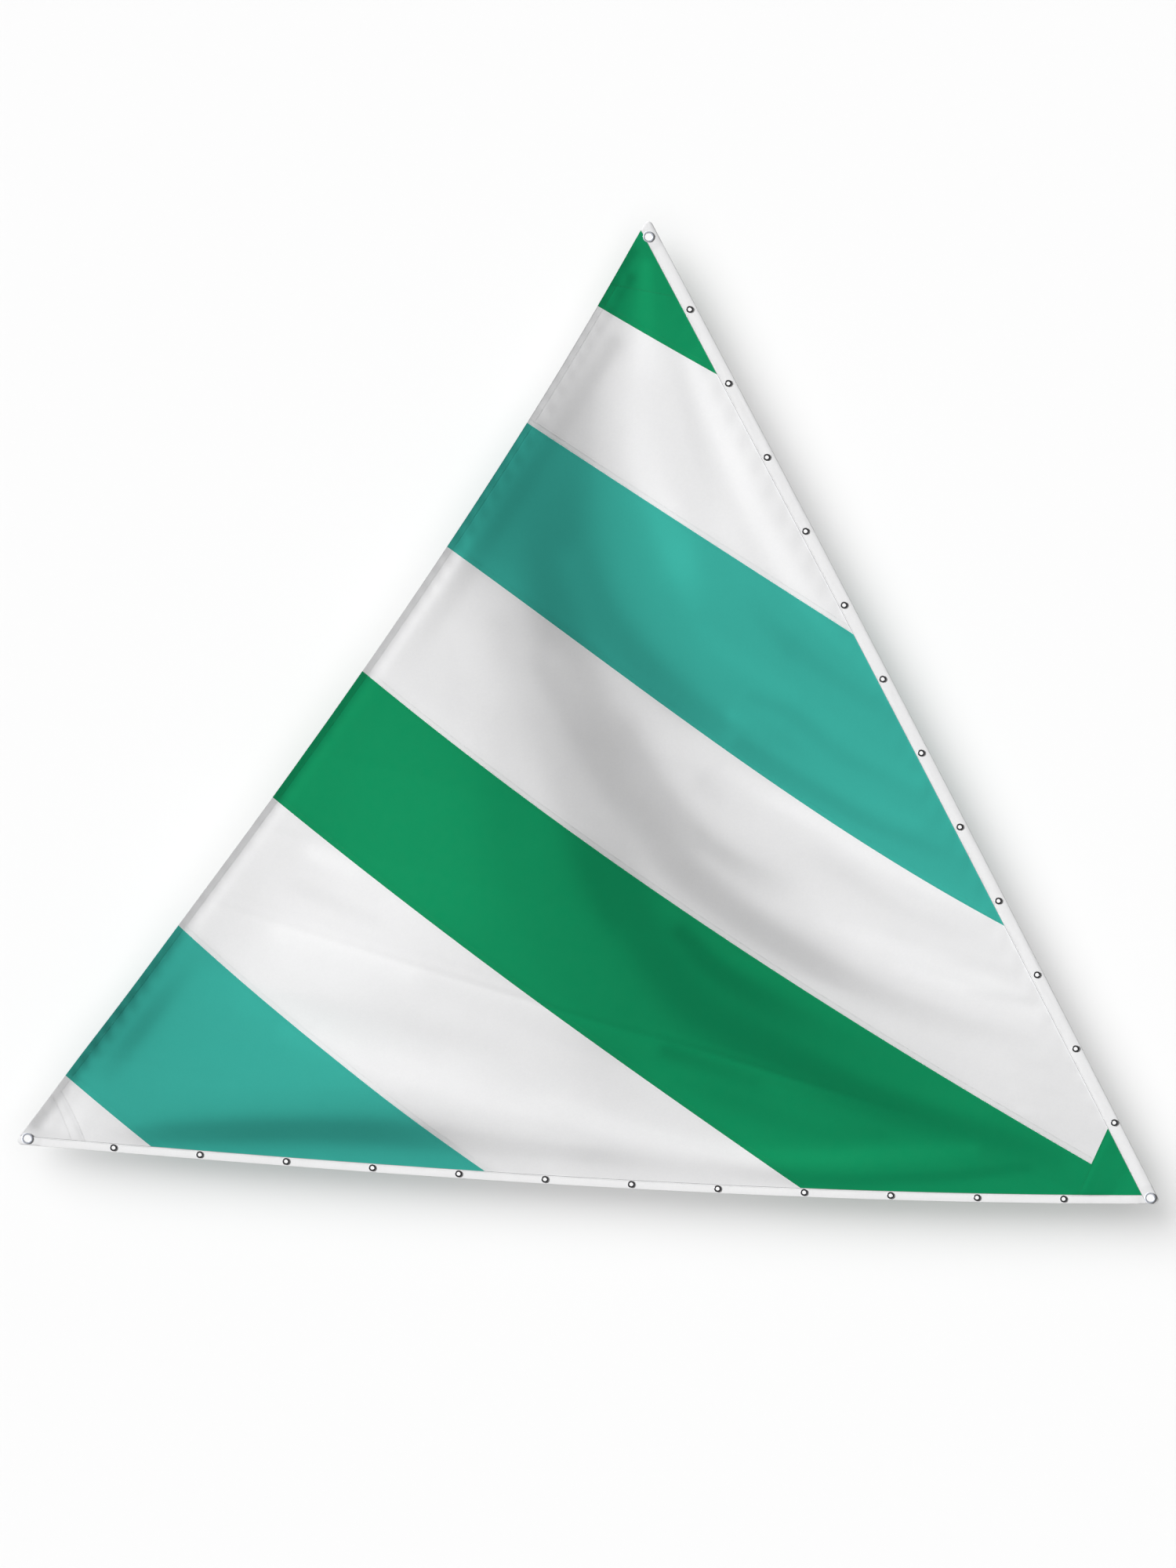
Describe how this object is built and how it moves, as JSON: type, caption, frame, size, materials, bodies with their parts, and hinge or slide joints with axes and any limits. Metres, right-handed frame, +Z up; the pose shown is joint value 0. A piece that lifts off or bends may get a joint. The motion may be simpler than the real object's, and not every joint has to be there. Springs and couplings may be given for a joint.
{
  "type": "dinghy sail",
  "caption": "Three-cornered lateen sail for a small dinghy: lapped diagonal bands of green, teal and white cloth, taped luff and foot with metal eyelets, bare leech.",
  "frame": {"origin": "centre of the tack eyelet, the lower corner where both spars meet, in the middle of the cloth's thickness", "axes": "+Z up the sail, square to the line of the boom's level; the foot runs to -X and rises slightly; -Y is the face seen in the picture, towards which the cloth bellies"},
  "size_m": [4.1617, 0.1148, 3.5888],
  "materials": {
    "cloth_green": "woven polyester sailcloth, dyed green, satin",
    "cloth_teal": "woven polyester sailcloth, dyed teal, satin",
    "cloth_white": "woven polyester sailcloth, white, satin",
    "edge_tape": "folded woven polyester tape, white, satin",
    "corner_eyelet_metal": "nickel plated, dull polish",
    "eyelet_metal": "dark nickel plated, dull"
  },
  "bodies": {
    "root": {"panel_1_head": "cloth_green", "panel_2": "cloth_white", "panel_3": "cloth_teal", "panel_4": "cloth_white", "panel_5": "cloth_green", "panel_6": "cloth_white", "panel_7": "cloth_teal", "panel_8_clew": "cloth_white", "leech_hem": "cloth_white", "luff_tape": "edge_tape", "foot_tape": "edge_tape", "head_patch": "cloth_green", "head_patch_inner": "cloth_green", "tack_patch": "cloth_green", "tack_patch_inner": "cloth_green", "clew_patch": "cloth_white", "clew_patch_inner": "cloth_white", "head_eyelet": "corner_eyelet_metal", "tack_eyelet": "corner_eyelet_metal", "clew_eyelet": "corner_eyelet_metal", "head_eyelet_washer": "corner_eyelet_metal", "tack_eyelet_washer": "corner_eyelet_metal", "clew_eyelet_washer": "corner_eyelet_metal", "luff_eyelet_01": "eyelet_metal", "luff_eyelet_02": "eyelet_metal", "luff_eyelet_03": "eyelet_metal", "luff_eyelet_04": "eyelet_metal", "luff_eyelet_05": "eyelet_metal", "luff_eyelet_06": "eyelet_metal", "luff_eyelet_07": "eyelet_metal", "luff_eyelet_08": "eyelet_metal", "luff_eyelet_09": "eyelet_metal", "luff_eyelet_10": "eyelet_metal", "luff_eyelet_11": "eyelet_metal", "luff_eyelet_12": "eyelet_metal", "foot_eyelet_01": "eyelet_metal", "foot_eyelet_02": "eyelet_metal", "foot_eyelet_03": "eyelet_metal", "foot_eyelet_04": "eyelet_metal", "foot_eyelet_05": "eyelet_metal", "foot_eyelet_06": "eyelet_metal", "foot_eyelet_07": "eyelet_metal", "foot_eyelet_08": "eyelet_metal", "foot_eyelet_09": "eyelet_metal", "foot_eyelet_10": "eyelet_metal", "foot_eyelet_11": "eyelet_metal", "foot_eyelet_12": "eyelet_metal"}
  },
  "joints": []
}
